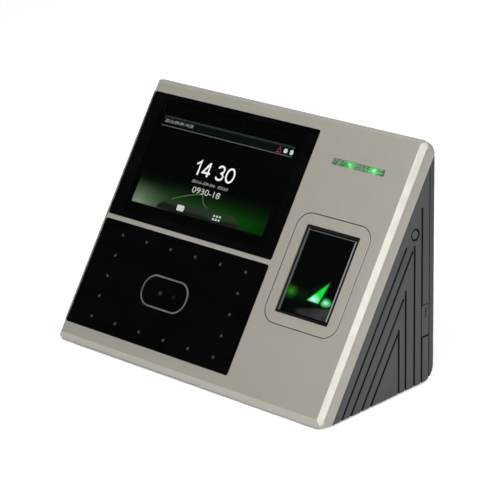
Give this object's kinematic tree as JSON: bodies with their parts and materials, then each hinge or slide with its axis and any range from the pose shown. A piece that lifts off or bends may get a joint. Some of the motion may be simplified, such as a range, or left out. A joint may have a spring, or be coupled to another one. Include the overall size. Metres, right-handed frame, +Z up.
{
  "type": "fingerprint scanner terminal",
  "caption": "Wedge-shaped access terminal: silver leaning face with a screen, a camera window and a framed fingerprint sensor, dark ribbed case, wall bracket behind.",
  "frame": {"origin": "on the table, under the middle of the overall box", "axes": "+X to the right as seen from the front, +Y to the back, +Z up"},
  "size_m": [0.1936, 0.0904, 0.1321],
  "materials": {
    "silver_shell": "satin silver paint with a fine metallic grain",
    "dark_shell": "fine satin texture",
    "dark_cover": "fine satin texture",
    "black_window": "polished, smoked black",
    "touch_glass": "polished",
    "screen_panel": "dark, lit from behind",
    "sheet_steel": "zinc-plated sheet",
    "trim_metal": "satin chrome line",
    "black_inner": "flat black",
    "board": "green solder mask",
    "infrared_lamp": "clear with a violet cast",
    "camera_body": "black barrel, coated lens",
    "green_light": "translucent, lit",
    "lamp_chip": "clear over a lit chip",
    "prism_glass": "polished optical glass",
    "relay_case": "moulded",
    "tin_plate": "tin-plated",
    "battery_can": "nickel-plated",
    "header_plastic": "moulded",
    "switch_plastic": "moulded",
    "plunger_plastic": "natural nylon",
    "spring_steel": "drawn wire",
    "speaker_cone": "pressed paper and rubber",
    "foot_rubber": "soft silicone",
    "screw_black": "black oxide",
    "flat_cable": "polyimide film"
  },
  "bodies": {
    "case": {"front_bezel": "silver_shell", "rear_shell": "dark_shell", "rear_cover": "dark_cover", "screen_window": "black_window", "touch_panel": "touch_glass", "screen_module": "screen_panel", "display_bracket": "sheet_steel", "camera_window": "black_window", "camera_trim": "trim_metal", "light_shroud": "black_inner", "light_board": "board", "infrared_leds": "infrared_lamp", "color_camera": "camera_body", "infrared_camera": "camera_body", "indicator_lens": "green_light", "indicator_board": "board", "indicator_leds": "lamp_chip", "sensor_surround": "silver_shell", "sensor_housing": "black_inner", "sensor_prism": "prism_glass", "sensor_lights": "lamp_chip", "sensor_camera": "camera_body", "main_board": "board", "processor_shield": "tin_plate", "lock_relay": "relay_case", "clock_battery": "battery_can", "ethernet_jack": "tin_plate", "power_inlet": "switch_plastic", "terminal_header": "header_plastic", "usb_socket": "tin_plate", "usb_board": "board", "usb_hinge_pin": "spring_steel", "button_spring": "spring_steel", "power_switch": "switch_plastic", "button_board": "board", "tamper_spring": "spring_steel", "tamper_switch": "switch_plastic", "tamper_board": "board", "speaker": "speaker_cone", "rubber_feet": "foot_rubber", "cover_screws": "screw_black", "bezel_screws": "spring_steel", "board_screws": "spring_steel", "screen_ribbon": "flat_cable", "camera_ribbon": "flat_cable", "sensor_ribbon": "flat_cable"},
    "button": {"power_button": "switch_plastic"},
    "socket_flap": {"usb_cover": "dark_shell"},
    "bracket": {"wall_bracket": "sheet_steel"},
    "plunger": {"tamper_plunger": "plunger_plastic"}
  },
  "joints": [
    {"name": "button_press", "type": "slide", "parent": "case", "child": "button", "axis": [-1, 0, 0], "range_m": [0, 0.0012], "stiffness_N_per_m": 600, "springref_m": -0.0006, "deforming": ["button_spring"]},
    {"name": "socket_flap_turn", "type": "hinge", "parent": "case", "child": "socket_flap", "pos_m": [0.09505, 0.03825, 0.0279], "axis": [0, 1, 0], "range_deg": [0, 90]},
    {"name": "bracket_slide", "type": "slide", "parent": "case", "child": "bracket", "axis": [0, 0, -1], "range_m": [0, 0.055]},
    {"name": "tamper_press", "type": "slide", "parent": "case", "child": "plunger", "axis": [0, -1, 0], "range_m": [0, 0.0008], "stiffness_N_per_m": 200, "springref_m": -0.001, "deforming": ["tamper_spring"]}
  ]
}
